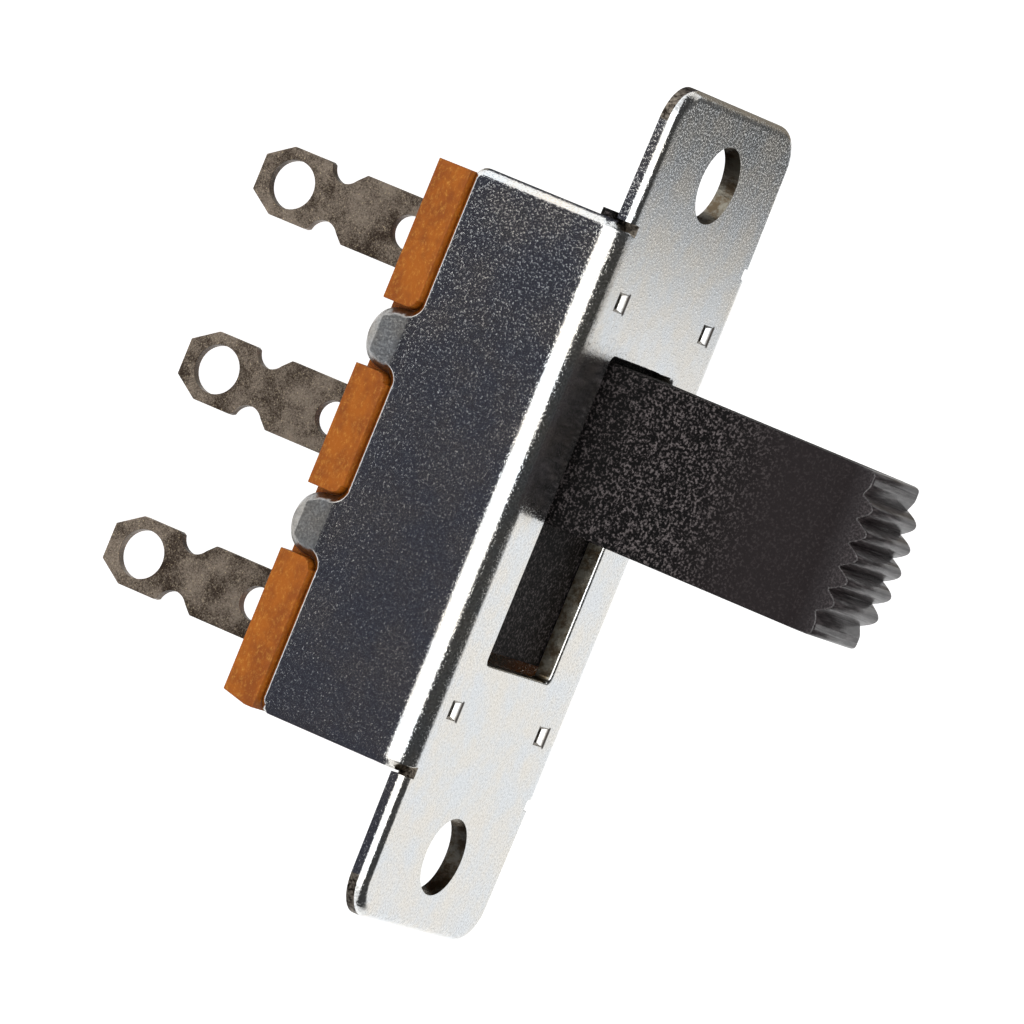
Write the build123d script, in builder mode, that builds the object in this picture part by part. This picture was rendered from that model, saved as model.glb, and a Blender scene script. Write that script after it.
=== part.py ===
"""Slide switch: folded steel frame, terminal board, three lugs, slider, contact bridge and spring."""

import os
from math import acos, degrees

from build123d import *

os.makedirs("parts", exist_ok=True)

# Frame, folded from one sheet. The origin is the middle of its outer face.
sheet = 0.74
frame_length = 34.9
frame_width = 12.7
wall_length = 23.1
wall_depth = 7.14
fold_inner = 0.38
ear_root_inset = 0.54
ear_tip_inset = 0.7
ear_corner = 1.6
wall_corner = 0.55
ear_roll = 0.43
wall_edge_face = 0.4
wall_edge_side = 0.5
slot_break = 0.1
relief_width = 0.1
relief_depth = 1.17
hole_margin = 3.1625
hole_diameter = 3.25
slot_length = 13.0
slot_width = 5.95
slot_corner = 0.25

# Dimples pressed into the face
dimple_length = 0.8
dimple_width = 0.9
dimple_depth = 0.25
dimple_inset = 0.12
dimple_x = 8.61
dimple_y = 4.1

# Tabs that close over the rear of the board
tab_offset = 3.92
tab_width = 2.6
tab_root = 0.45
tab_round = 1.44
tab_fold_inner = 0.45
tab_fold_rise = 0.35
tab_fold_angle = 55
tab_end = 0.3

# Terminal board
board_thickness = 1.5
board_square_end = 11.2
board_bevelled_end = 11.55
board_bevel = 0.25
board_bevel_rise = 1.1
notch_side_gap = 0.08
notch_back_gap = 0.25

# Terminals, measured from the centre of the eye towards the board
lug_sheet = 0.45
lug_pitch = 7.95
lug_row = -2.0
lug_slot_gap = 0.02
eye_drop = 7.72
eye_diameter = 2.0
eye_width = 2.9
eye_tip = 1.57
eye_tip_width = 1.5
eye_flat_start = 0.49
eye_flat_end = 1.23
neck_width = 1.64
neck_at = 1.98
neck_start_width = 2.76
neck_start = 1.36
neck_end_width = 2.24
neck_end = 2.62
lug_width = 2.96
lug_start = 3.0
wire_hole_diameter = 1.4
wire_hole_at = 5.54
foot_width = 3.8
foot_reach = 2.0
foot_bend = 0.35

# Slider, drawn at the end of its travel where the photograph shows it
travel_half = 2.9
grip_length = 6.85
grip_width = 4.45
grip_height = 11.9
ridge_count = 7
ridge_land = 0.3
ridge_crown = 0.8
ridge_fall = 0.885
valley_crown = 0.1
valley_fall = 0.4
ridge_round = 0.2
valley_round = 0.08
grip_edge = 0.08
carriage_length = 17.9
carriage_side_gap = 0.15
carriage_top_gap = 0.07
carriage_thickness = 0.83
housing_length = 12.6
housing_width = 6.6
housing_height = 3.75
housing_corner = 0.5
pocket_side_gap = 0.2
pocket_end_gap = 0.3
pocket_height = 1.9
spring_bore_gap = 0.15
spring_bore_height = 1.4

# Contact bridge
bridge_sheet = 0.4
bridge_length = 10.4
bridge_width = 4.4
bridge_side = 1.75
bridge_bend = 0.5
bump_spacing = 8.4
bump_radius = 1.1
bump_height = 0.45
contact_gap = 0.05

# Contact spring
spring_wire = 0.35
spring_wire_sides = 8
spring_diameter = 2.6
spring_turns = 4
spring_end_gap = 0.02

# Levels and places that follow from the sizes above
wall_inner = frame_width / 2 - sheet
wall_end = wall_length / 2
fold_outer = fold_inner + sheet
ear_start = wall_end + relief_width
ear_root_width = frame_width - 2 * ear_root_inset
ear_tip_width = frame_width - 2 * ear_tip_inset
hole_pitch = frame_length - 2 * hole_margin
board_inner = -wall_depth
board_rear = board_inner - board_thickness
notch_depth = sheet + notch_back_gap
tab_round_start = -wall_depth - tab_root
tab_fold_level = board_rear + tab_fold_rise
eye_level = board_rear - eye_drop
foot_top = board_inner + lug_sheet
slider_x = -travel_half
carriage_top = -sheet - carriage_top_gap
carriage_under = carriage_top - carriage_thickness
rebate_from = dimple_y - dimple_width / 2 - carriage_side_gap
rebate_depth = dimple_depth + carriage_top_gap
housing_under = carriage_under - housing_height
pocket_top = housing_under + pocket_height
bore_top = pocket_top + spring_bore_height
bridge_under = foot_top + contact_gap + bump_height
bridge_top = bridge_under + bridge_sheet
ridge_pitch = grip_length / ridge_count

# Frame
with BuildPart() as frame:
    with BuildSketch(Plane.YZ) as channel:
        with BuildLine():
            Polyline(
                (-frame_width / 2, -wall_depth),
                (-frame_width / 2, 0),
                (frame_width / 2, 0),
                (frame_width / 2, -wall_depth),
                (wall_inner, -wall_depth),
                (wall_inner, -sheet),
                (-wall_inner, -sheet),
                (-wall_inner, -wall_depth),
                close=True,
            )
        make_face()
        # The folds are rounded outside only
        fillet(channel.vertices().group_by(Axis.Y)[-1], radius=fold_outer)
    extrude(amount=wall_end, both=True)
    wall_corners = frame.edges().filter_by(Axis.Y).group_by(Axis.Z)[0]
    fillet(wall_corners, radius=wall_corner)
    # The tabs run down from the walls, curl in under the board and end in a half round
    with BuildSketch(Plane.YZ.offset(-tab_offset)):
        with BuildLine():
            rise = Line((wall_inner, -wall_depth + sheet), (wall_inner, tab_fold_level))
            inner_fold = CenterArc(
                (wall_inner - tab_fold_inner, tab_fold_level), tab_fold_inner, 0, -tab_fold_angle
            )
            inner_end = PolarLine(inner_fold @ 1, tab_end, direction=inner_fold % 1)
            tip = PolarLine(inner_end @ 1, sheet, -tab_fold_angle)
            PolarLine(tip @ 1, tab_end, direction=-(inner_fold % 1))
            outer_fold = CenterArc(
                (wall_inner - tab_fold_inner, tab_fold_level),
                tab_fold_inner + sheet,
                -tab_fold_angle,
                tab_fold_angle,
            )
            Line(outer_fold @ 1, (frame_width / 2, -wall_depth + sheet))
            Line((frame_width / 2, -wall_depth + sheet), rise @ 0)
        make_face()
        mirror(about=Plane.YZ)
    extrude(amount=tab_width / 2 + tab_root, both=True)
    mirror(about=Plane.YZ)
    with BuildSketch(Plane.XZ):
        with Locations((-tab_offset, tab_round_start), (tab_offset, tab_round_start)):
            Rectangle(tab_width + 2 * tab_root, 2 * tab_round, align=(Align.CENTER, Align.MAX))
            Ellipse(tab_width / 2, tab_round, mode=Mode.SUBTRACT)
            with GridLocations(tab_width + 2 * tab_root, 0, 2, 1):
                Circle(tab_root)
    extrude(amount=frame_width, both=True, mode=Mode.SUBTRACT)
    # Ears, narrower than the body, with a slit beside each fold
    with BuildSketch():
        Rectangle(frame_length, frame_width - 2 * relief_depth)
        with BuildLine():
            Polyline(
                (ear_start, ear_root_width / 2),
                (frame_length / 2, ear_tip_width / 2),
                (frame_length / 2, -ear_tip_width / 2),
                (ear_start, -ear_root_width / 2),
                close=True,
            )
        make_face()
        mirror(about=Plane.YZ)
    extrude(amount=-sheet)
    ear_corners = frame.edges().filter_by(Axis.Z).group_by(SortBy.DISTANCE)[-1]
    fillet(ear_corners, radius=ear_corner)
    with BuildSketch():
        with GridLocations(hole_pitch, 0, 2, 1):
            Circle(hole_diameter / 2)
    extrude(amount=-sheet, mode=Mode.SUBTRACT)
    ear_outline = frame.faces().filter_by(Plane.XY).sort_by(Axis.Z)[-1].outer_wire().edges()
    fillet(
        ear_outline.filter_by(lambda edge: abs(edge.center().X) > ear_start + ear_roll),
        radius=ear_roll,
    )
    with BuildSketch():
        RectangleRounded(slot_length, slot_width, slot_corner)
    extrude(amount=-sheet, mode=Mode.SUBTRACT)
    face_rims = frame.faces().filter_by(Plane.XY).sort_by(Axis.Z)[-1].inner_wires()
    chamfer(face_rims.sort_by(SortBy.LENGTH)[-1].edges(), length=slot_break)
    # One edge of each wall is picked, and the bevel runs on around the whole outline of the wall
    for side in (0, -1):
        wall = frame.faces().filter_by(Plane.XZ).sort_by(Axis.Y)[side]
        wall_ends = wall.edges().filter_by(Axis.Z).group_by(SortBy.DISTANCE)[-1]
        chamfer(wall_ends, length=wall_edge_face, length2=wall_edge_side, reference=wall)
    # Each dimple is pressed in from the face and stands out as far below it
    for level, mode in ((-sheet, Mode.ADD), (0, Mode.SUBTRACT)):
        with Locations((0, 0, level)):
            with GridLocations(2 * dimple_x, 2 * dimple_y, 2, 2):
                Wedge(
                    dimple_length,
                    dimple_depth,
                    dimple_width,
                    dimple_inset,
                    dimple_inset,
                    dimple_length - dimple_inset,
                    dimple_width - dimple_inset,
                    rotation=(-90, 0, 0),
                    align=(Align.CENTER, Align.MIN, Align.CENTER),
                    mode=mode,
                )
frame.part.label = "frame"
export_step(frame.part, "parts/frame.step")

# Terminal board, bevelled at the rear of one end and notched for the tabs
with BuildPart() as terminal_board:
    with BuildSketch(Plane.XZ):
        with BuildLine():
            Polyline(
                (-board_square_end, board_inner),
                (board_bevelled_end, board_inner),
                (board_bevelled_end, board_rear + board_bevel_rise),
                (board_bevelled_end - board_bevel, board_rear),
                (-board_square_end, board_rear),
                close=True,
            )
        make_face()
    extrude(amount=frame_width / 2, both=True)
    with BuildSketch(Plane.XY.offset(board_inner)):
        with Locations((0, lug_row)):
            with GridLocations(lug_pitch, 0, 3, 1):
                Rectangle(lug_width + 2 * lug_slot_gap, lug_sheet + 2 * lug_slot_gap)
    extrude(amount=-board_thickness, mode=Mode.SUBTRACT)
    with BuildSketch(Plane.XZ.offset(frame_width / 2), Plane.XZ.offset(notch_depth - frame_width / 2)):
        with Locations((-tab_offset, tab_round_start), (tab_offset, tab_round_start)):
            Rectangle(tab_width + 2 * tab_root, tab_root, align=(Align.CENTER, Align.MIN))
            with GridLocations(tab_width + 2 * tab_root, 0, 2, 1):
                Circle(tab_root - notch_side_gap, mode=Mode.SUBTRACT)
            Rectangle(tab_width + 2 * notch_side_gap, board_thickness, align=(Align.CENTER, Align.MAX))
    extrude(amount=-notch_depth, mode=Mode.SUBTRACT)
terminal_board.part.label = "terminal_board"
export_step(terminal_board.part, "parts/terminal_board.step")

# Terminals, each one a lug outside and a contact foot inside
for number, lug_x in enumerate((-lug_pitch, 0, lug_pitch), start=1):
    lug_plane = Plane(origin=(lug_x, lug_row + lug_sheet / 2, eye_level), x_dir=(1, 0, 0), z_dir=(0, -1, 0))
    with BuildPart() as terminal:
        with BuildSketch(lug_plane):
            with BuildLine():
                Polyline(
                    (0, -eye_tip),
                    (eye_tip_width / 2, -eye_tip),
                    (eye_width / 2, -eye_flat_start),
                    (eye_width / 2, eye_flat_end),
                    (neck_start_width / 2, neck_start),
                )
                ThreePointArc(
                    (neck_start_width / 2, neck_start),
                    (neck_width / 2, neck_at),
                    (neck_end_width / 2, neck_end),
                )
                Polyline(
                    (neck_end_width / 2, neck_end),
                    (lug_width / 2, lug_start),
                    (lug_width / 2, foot_top - eye_level),
                    (0, foot_top - eye_level),
                )
                mirror(about=Plane.YZ)
            make_face()
            Circle(eye_diameter / 2, mode=Mode.SUBTRACT)
            with Locations((0, wire_hole_at)):
                Circle(wire_hole_diameter / 2, mode=Mode.SUBTRACT)
        extrude(amount=lug_sheet)
        with BuildSketch(Plane.XY.offset(board_inner)):
            with Locations((lug_x, lug_row - lug_sheet / 2)):
                Rectangle(
                    foot_width,
                    foot_reach - lug_row + lug_sheet / 2,
                    align=(Align.CENTER, Align.MIN),
                )
        extrude(amount=lug_sheet)
        bend = terminal.edges().filter_by(Axis.X).group_by(Axis.Z)[-1].sort_by(Axis.Y)[0]
        fillet(bend, radius=foot_bend)
    terminal.part.label = f"terminal_{number}"
    export_step(terminal.part, f"parts/terminal_{number}.step")

# Side view of the ridged end: each crest is a short land, and the outer lands run out to the corners
grip_points = [(-grip_length / 2, carriage_under)]
valley_places = []
for ridge in range(ridge_count):
    crest_at = (ridge - (ridge_count - 1) / 2) * ridge_pitch
    crest_share = crest_at / (grip_length / 2)
    crest = grip_height + ridge_crown - ridge_fall * crest_share**2
    land_start = crest_at - ridge_land / 2 if ridge > 0 else -grip_length / 2
    land_end = crest_at + ridge_land / 2 if ridge < ridge_count - 1 else grip_length / 2
    grip_points.append((land_start, crest))
    grip_points.append((land_end, crest))
    if ridge < ridge_count - 1:
        valley_at = crest_at + ridge_pitch / 2
        valley_share = valley_at / (grip_length / 2)
        grip_points.append((valley_at, grip_height + valley_crown - valley_fall * valley_share**2))
        valley_places.append(valley_at)
grip_points.append((grip_length / 2, carriage_under))

# Slider
with BuildPart() as slider:
    with BuildSketch(Plane(origin=(slider_x, 0, 0), x_dir=(1, 0, 0), z_dir=(0, -1, 0))) as grip:
        with BuildLine():
            Polyline(*grip_points, close=True)
        make_face()
        upper_corners = grip.vertices().filter_by(lambda corner: corner.Y > carriage_under + grip_edge)
        valley_corners = upper_corners.filter_by(
            lambda corner: any(abs(corner.X - place) < ridge_land / 2 for place in valley_places)
        )
        crest_corners = upper_corners - valley_corners
        fillet(valley_corners, radius=valley_round)
        fillet(crest_corners, radius=ridge_round)
    extrude(amount=grip_width / 2, both=True)
    grip_sides = slider.faces().filter_by(Axis.Y)
    grip_rim = grip_sides.edges().filter_by(lambda edge: edge.center().Z > carriage_under + grip_edge)
    chamfer(grip_rim, length=grip_edge)
    with BuildSketch(Plane.YZ.offset(slider_x)):
        with Locations((0, carriage_under)):
            Rectangle(
                2 * (wall_inner - carriage_side_gap),
                carriage_thickness - rebate_depth,
                align=(Align.CENTER, Align.MIN),
            )
            Rectangle(2 * rebate_from, carriage_thickness, align=(Align.CENTER, Align.MIN))
    extrude(amount=carriage_length / 2, both=True)
    with BuildSketch(Plane.XY.offset(carriage_under)):
        with Locations((slider_x, 0)):
            RectangleRounded(housing_length, housing_width, housing_corner)
    extrude(amount=-housing_height)
    with BuildSketch(Plane.XY.offset(housing_under)):
        with Locations((slider_x, 0)):
            Rectangle(bridge_length + 2 * pocket_end_gap, bridge_width + 2 * pocket_side_gap)
    extrude(amount=pocket_height, mode=Mode.SUBTRACT)
    with BuildSketch(Plane.XY.offset(pocket_top)):
        with Locations((slider_x, 0)):
            Circle(spring_diameter / 2 + spring_bore_gap)
    extrude(amount=spring_bore_height, mode=Mode.SUBTRACT)
slider.part.label = "slider"
export_step(slider.part, "parts/slider.step")

# Contact bridge, a channel with a pressed bump near each end
bump_angle = degrees(acos((bump_radius - bump_height) / bump_radius))
with BuildPart() as moving_contact:
    with BuildSketch(Plane.YZ.offset(slider_x)) as bridge_section:
        with Locations((0, bridge_under)):
            Rectangle(bridge_width, bridge_sheet + bridge_side, align=(Align.CENTER, Align.MIN))
        with Locations((0, bridge_top)):
            Rectangle(
                bridge_width - 2 * bridge_sheet,
                bridge_side,
                align=(Align.CENTER, Align.MIN),
                mode=Mode.SUBTRACT,
            )
        fillet(bridge_section.vertices().group_by(Axis.Y)[0], radius=bridge_bend)
    extrude(amount=bridge_length / 2, both=True)
    for bump_x in (slider_x - bump_spacing / 2, slider_x + bump_spacing / 2):
        bump_plane = Plane(origin=(bump_x, 0, bridge_under), x_dir=(1, 0, 0), z_dir=(0, -1, 0))
        with BuildSketch(bump_plane):
            with BuildLine():
                cap = CenterArc((0, bump_radius - bump_height), bump_radius, -90, bump_angle)
                Polyline(cap @ 1, (0, 0), cap @ 0)
            make_face()
        revolve(axis=Axis((bump_x, 0, 0), (0, 0, 1)))
moving_contact.part.label = "moving_contact"
export_step(moving_contact.part, "parts/moving_contact.step")

# Contact spring, wound between the slider and the bridge
spring_low = bridge_top + spring_wire / 2 + spring_end_gap
spring_high = bore_top - spring_wire / 2 - spring_end_gap
spring_radius = (spring_diameter - spring_wire) / 2
with BuildPart() as contact_spring:
    with BuildLine() as coil:
        Helix(
            (spring_high - spring_low) / spring_turns,
            spring_high - spring_low,
            spring_radius,
            center=(slider_x, 0, spring_low),
        )
    with BuildSketch(Plane(origin=coil.line @ 0, z_dir=coil.line % 0)):
        RegularPolygon(spring_wire / 2, spring_wire_sides)
    sweep(is_frenet=True)
contact_spring.part.label = "contact_spring"
export_step(contact_spring.part, "parts/contact_spring.step")
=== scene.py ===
"""Looks for a slide switch: zinc-plated frame, laminate board with solder lugs, and black slider."""

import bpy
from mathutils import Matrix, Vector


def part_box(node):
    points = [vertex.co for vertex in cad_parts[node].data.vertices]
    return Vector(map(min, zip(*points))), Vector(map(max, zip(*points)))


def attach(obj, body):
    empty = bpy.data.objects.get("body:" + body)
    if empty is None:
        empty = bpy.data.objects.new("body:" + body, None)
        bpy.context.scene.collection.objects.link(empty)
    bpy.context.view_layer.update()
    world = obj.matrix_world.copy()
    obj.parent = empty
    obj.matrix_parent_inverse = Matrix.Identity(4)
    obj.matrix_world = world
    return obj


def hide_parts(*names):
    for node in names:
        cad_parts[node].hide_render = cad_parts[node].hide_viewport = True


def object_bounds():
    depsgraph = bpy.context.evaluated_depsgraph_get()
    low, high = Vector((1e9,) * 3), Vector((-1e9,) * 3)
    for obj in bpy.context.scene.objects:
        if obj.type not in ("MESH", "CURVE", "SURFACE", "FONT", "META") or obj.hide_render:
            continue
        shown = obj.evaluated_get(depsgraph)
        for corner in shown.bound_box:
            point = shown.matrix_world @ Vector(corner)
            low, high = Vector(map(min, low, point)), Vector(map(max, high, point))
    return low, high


bl_info = {
    "name": "Slide Switch",
    "version": (1, 0, 0),
    "blender": (4, 5, 0),
    "location": "3D View > Sidebar > Switch",
    "description": "Dresses the solids of a slide switch and lights them on a plain stage",
    "category": "Object",
}

import math

import bmesh
import bpy
from mathutils import Euler, Vector

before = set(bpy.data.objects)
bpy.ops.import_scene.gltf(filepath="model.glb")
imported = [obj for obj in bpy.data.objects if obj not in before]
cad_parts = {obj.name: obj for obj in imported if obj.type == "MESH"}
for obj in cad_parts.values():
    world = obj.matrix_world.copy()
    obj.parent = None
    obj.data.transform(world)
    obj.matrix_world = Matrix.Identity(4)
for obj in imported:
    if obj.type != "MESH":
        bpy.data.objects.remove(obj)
CAD_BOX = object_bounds()

MM = 0.001

BODY = "switch_body"
SLIDER_BODY = "switch_slider"

# Points of the imported triangles closer than this are one point
WELD = 0.001 * MM
# Triangles whose planes differ by less than this lie in one flat face
FLAT_ANGLE = math.radians(0.4)
# Faces that meet at more than this have a crisp edge between them
CRISP_ANGLE = math.radians(32)
# The same for a piece whose edges the solid already breaks
BROKEN_ANGLE = math.radians(58)
# Points in one turn of the spring and round its wire
COIL_POINTS = 36
WIRE_POINTS = 12
# Numbers of a mix node's colour inputs, which share their names with others
MIX_A, MIX_B = 6, 7
# Settings that many nodes have
COLOURS = {"data_type": "RGBA"}
SMOOTH = {"interpolation_type": "SMOOTHSTEP"}


def linear(code):
    """Turns an sRGB hex colour into linear red, green and blue."""
    channels = [int(code[i : i + 2], 16) / 255 for i in (1, 3, 5)]
    return [c / 12.92 if c <= 0.04045 else ((c + 0.055) / 1.055) ** 2.4 for c in channels]


def rgba(colour):
    """A colour with full alpha, as colour sockets take it."""
    return (*colour, 1.0)


def per(size):
    """The scale of a pattern whose marks are that long, in metres."""
    return 1 / size


def add(tree, kind, inputs=None, **settings):
    """Adds a node with its settings, and fills or links its inputs by name or number.

    A node among the inputs is linked from its first output that is in use.
    """
    node = tree.nodes.new(kind)
    for name, value in settings.items():
        setattr(node, name, value)
    for key, value in (inputs or {}).items():
        if isinstance(value, bpy.types.Node):
            value = next(socket for socket in value.outputs if socket.enabled)
        if isinstance(value, bpy.types.NodeSocket):
            tree.links.new(value, node.inputs[key])
        else:
            node.inputs[key].default_value = value
    return node


def new_material(name):
    """An empty node material and its tree."""
    material = bpy.data.materials.new(name)
    material.use_nodes = True
    material.node_tree.nodes.clear()
    return material, material.node_tree


def end_material(tree, inputs):
    """Gives a material its surface."""
    shader = add(tree, "ShaderNodeBsdfPrincipled", inputs)
    add(tree, "ShaderNodeOutputMaterial", {"Surface": shader})


def colour_prop(name, description, code):
    """A colour that a user can change, from its sRGB hex value."""
    return bpy.props.FloatVectorProperty(
        name=name, description=description, subtype="COLOR", size=3, min=0, max=1, default=linear(code)
    )


def number_prop(name, description, value, least=0, **kind):
    """A number that a user can change."""
    return bpy.props.FloatProperty(name=name, description=description, min=least, default=value, **kind)


def length_prop(name, description, millimetres):
    """A length that a user can change, from its value in millimetres."""
    return number_prop(name, description, millimetres * MM, unit="LENGTH", precision=6)


class SwitchFinish(bpy.types.PropertyGroup):
    """Colours of the switch's materials and the sizes of their grain"""

    zinc_cool: colour_prop("Zinc, cool", "Plating where it looks bluish", "#edf1f4")
    zinc_warm: colour_prop("Zinc, warm", "Plating where it looks yellowish", "#f6f2ea")
    zinc_grain: length_prop("Zinc grain", "Length of a crystal mark in the plating", 0.095)
    zinc_cloud: length_prop("Zinc cloud", "Length of a duller cloud in the plating", 2.4)
    zinc_relief: length_prop("Zinc relief", "Height of the crystals in the plating", 0.0043)
    shear_light: colour_prop("Sheared edge, burnished", "Edge where the punch polished it", "#938a7e")
    # The torn edge's dark colour also paints the line of shade along each dimple's far rim
    shear_dark_and_rim_shade: colour_prop("Sheared edge, torn", "Edge where the sheet tore off", "#2a241f")
    shear_tear: length_prop("Shear tear", "Length of a torn patch in a sheared edge", 0.16)
    shear_relief: length_prop("Shear relief", "Height of the torn patches", 0.03)
    cut_colour: colour_prop("Punched wall", "Walls of the slot and the holes", "#949084")
    cut_dark: colour_prop("Punched wall, stained", "Brown stain on those walls", "#675a48")
    cut_chatter: length_prop("Punched wall chatter", "Width of a mark that the punch left", 0.3)
    cut_relief: length_prop("Punched wall relief", "Height of the punch marks", 0.035)
    laminate_light: colour_prop("Laminate, light", "Paper fibres near the surface", "#dc9c42")
    laminate_mid: colour_prop("Laminate", "Resin and paper together", "#b05f0c")
    laminate_dark: colour_prop("Laminate, dark", "Resin-rich marks", "#934a0a")
    laminate_fibre: length_prop("Laminate fibre", "Length of a paper fibre mark", 0.11)
    laminate_blotch: length_prop("Laminate blotch", "Length of a resin-rich mark", 0.7)
    laminate_relief: length_prop("Laminate relief", "Height of the fibres", 0.02)
    tin_light: colour_prop("Tin, light", "Cleaner tin on the lugs", "#8d8174")
    tin_dark: colour_prop("Tin, tarnished", "Tarnish on the lugs", "#372e27")
    # The tin glint is a painted highlight in golden specks
    tin_glint: colour_prop("Tin, worn", "Specks where brass shows through the tin", "#d9c69c")
    tin_fleck: length_prop("Tin fleck", "Length of a tarnish fleck", 0.055)
    tin_patch: length_prop("Tin patch", "Length of a tarnished patch", 1.4)
    tin_relief: length_prop("Tin relief", "Height of the flecks", 0.012)
    moulding: colour_prop("Black moulding", "Colour of the slider where it is smooth", "#272223")
    moulding_pit: colour_prop("Black moulding, pits", "Pits of the mould grain", "#080707")
    # The moulding glint is a painted highlight on the peaks of the mould grain
    moulding_glint: colour_prop("Black moulding, peaks", "Peaks of the mould grain", "#746c6c")
    # The moulding sheen is a painted sheen on the polished ridges
    moulding_sheen: colour_prop("Black moulding, rubbed", "Ridges where fingers polished them", "#6e6566")
    moulding_grain: length_prop("Moulding grain", "Pitch of the spark-eroded mould grain", 0.095)
    moulding_relief: length_prop("Moulding relief", "Height of the mould grain", 0.05)
    moulding_streak: length_prop("Moulding streak", "Width of a polished streak on the ridges", 0.09)
    bronze: colour_prop("Contact bronze", "Colour of the contact bridge", "#c08f5c")
    bronze_line: length_prop("Bronze line", "Width of a rolling line", 0.08)
    spring: colour_prop("Spring wire", "Colour of the drawn spring wire", "#a9a9ab")
    spring_streak: length_prop("Spring streak", "Length of a drawing mark", 0.12)


class SwitchSizes(bpy.types.PropertyGroup):
    """Sizes of what the looks add to the solids"""

    tab_level: length_prop("Tab level", "Depth of the tabs' roots below the outer face", 7.14)
    dimple_x: length_prop("Dimple place", "Distance of the dimples from the middle, along the travel", 8.61)
    dimple_y: length_prop("Dimple offset", "Distance of the dimples from the middle, across", 4.1)
    dimple_half: length_prop("Dimple half width", "From the middle of a dimple to its rim", 0.45)
    # The dimple shade line is a painted dark line that stands in for shade at a dimple's far rim
    dimple_shade_line: length_prop("Dimple burr", "Width of the dark line along a dimple's far rim", 0.16)
    ridge_count: bpy.props.IntProperty(name="Ridges", description="Ridges on the grip", min=2, default=7)
    ridge_depth: length_prop("Ridge depth", "Depth of the valleys in the middle of the grip", 0.6)
    ridge_fall: length_prop("Ridge fall", "How much lower the crests are at the ends", 1.0)
    valley_fall: length_prop("Valley fall", "How much lower the valleys are at the ends", 0.4)
    ridge_root: length_prop("Ridge root", "From the highest crest down to the plain part of the grip", 1.5)
    grip_edge: length_prop("Grip edge", "Width of the broken edge round the grip's sides", 0.08)
    lug_pitch: length_prop("Lug pitch", "Distance from one solder lug to the next", 7.95)
    lug_count: bpy.props.IntProperty(name="Lugs", description="Number of solder lugs", min=1, default=3)
    lug_edge: length_prop("Lug edge", "Width of the broken edge of a lug", 0.03)
    board_edge: length_prop("Board edge", "Width of the broken edge of the board", 0.05)
    bridge_edge: length_prop("Bridge edge", "Width of the broken edge of the bridge", 0.03)
    spring_wire: length_prop("Spring wire", "Diameter of the spring's wire", 0.35)
    spring_turns: number_prop("Spring turns", "Turns of the spring", 4, 1)


class SwitchStage(bpy.types.PropertyGroup):
    """Floor, light and camera"""

    floor_drop: length_prop("Floor drop", "Gap from the lug tips down to the floor", 9.0)
    floor_size: length_prop("Floor size", "Length of the floor's side", 6000)
    floor_glow: number_prop("Floor glow", "White added to the floor", 0.6)
    fill: number_prop("Fill", "Strength of the light from all round", 0.5)
    front_power: number_prop("Front light", "Power of the softbox behind the camera", 2.4, unit="POWER")
    lens: number_prop("Lens", "Focal length of the camera", 426.81, 1, subtype="DISTANCE_CAMERA")


def merged_copy(node_name, piece_name, crisp=CRISP_ANGLE):
    """A welded copy of a CAD node's triangles, with flat faces made whole and crisp edges marked."""
    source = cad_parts[node_name].data
    points = [vertex.co[:] for vertex in source.vertices]
    corners = [tuple(face.vertices) for face in source.polygons]
    mesh = bpy.data.meshes.new(piece_name)
    mesh.from_pydata(points, [], corners)
    shape = bmesh.new()
    shape.from_mesh(mesh)
    bmesh.ops.remove_doubles(shape, verts=shape.verts, dist=WELD)
    bmesh.ops.dissolve_limit(shape, angle_limit=FLAT_ANGLE, verts=shape.verts, edges=shape.edges)
    shape.to_mesh(mesh)
    shape.free()
    mesh.shade_smooth()
    mesh.set_sharp_from_angle(angle=crisp)
    piece = bpy.data.objects.new(piece_name, mesh)
    bpy.context.scene.collection.objects.link(piece)
    return piece


def break_edges(piece, width):
    """Rounds the crisp edges of a piece by a small width."""
    bevel = piece.modifiers.new("Broken edges", "BEVEL")
    bevel.width = width
    bevel.segments = 2
    bevel.limit_method = "ANGLE"
    bevel.angle_limit = CRISP_ANGLE
    bevel.harden_normals = True
    bevel.use_clamp_overlap = True


def weigh_normals(piece):
    """Keeps large faces flat beside small rounds."""
    weighted = piece.modifiers.new("Weighted normals", "WEIGHTED_NORMAL")
    weighted.keep_sharp = True


def make_plain(piece):
    """Turns the piece and its modifiers into one plain mesh."""
    graph = bpy.context.evaluated_depsgraph_get()
    mesh = bpy.data.meshes.new_from_object(piece.evaluated_get(graph))
    mesh.name = piece.name
    piece.modifiers.clear()
    piece.data = mesh


def seat(piece, body, slot, *nodes):
    """Lets the piece ride on its body in place of the CAD nodes."""
    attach(piece, body)
    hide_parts(*nodes)


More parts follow.
